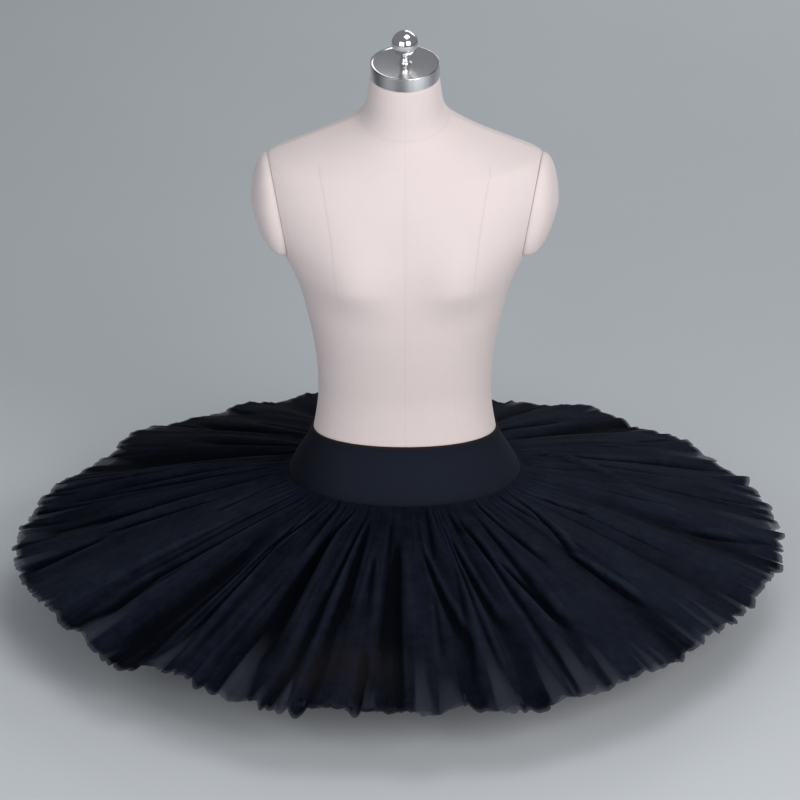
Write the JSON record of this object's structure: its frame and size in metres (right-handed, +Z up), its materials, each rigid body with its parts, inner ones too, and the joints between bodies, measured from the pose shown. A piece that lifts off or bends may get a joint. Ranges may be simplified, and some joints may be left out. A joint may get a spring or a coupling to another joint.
{
  "type": "ballet tutu on a dress form",
  "caption": "Flat practice tutu with a wide stretch waistband and layered gathered net, worn by a limbless dress form that stands on its flat base board.",
  "frame": {"origin": "middle of the base board's underside, on the surface that the form stands on", "axes": "+Z up along the form, -Y towards the form's front, +X towards the form's left side"},
  "size_m": [0.9834, 0.9113, 0.779],
  "materials": {
    "linen": "pale pinkish cream linen stretched over the form, matte plain weave",
    "chrome": "polished chrome",
    "board": "plain sealed plywood",
    "knit": "black stretch knit, matte",
    "yoke_knit": "black cotton knit, matte",
    "net": "stiff blue-black net, sheer in one layer"
  },
  "bodies": {
    "root": {"form_torso": "linen", "shoulder_cap_right": "linen", "shoulder_cap_left": "linen", "neck_cap": "chrome", "finial": "chrome", "base_board": "board", "waistband": "knit", "hip_yoke": "yoke_knit", "net_layer_1": "net", "net_layer_2": "net", "net_layer_3": "net", "net_layer_4": "net", "net_layer_5": "net", "net_layer_6": "net"}
  },
  "joints": []
}
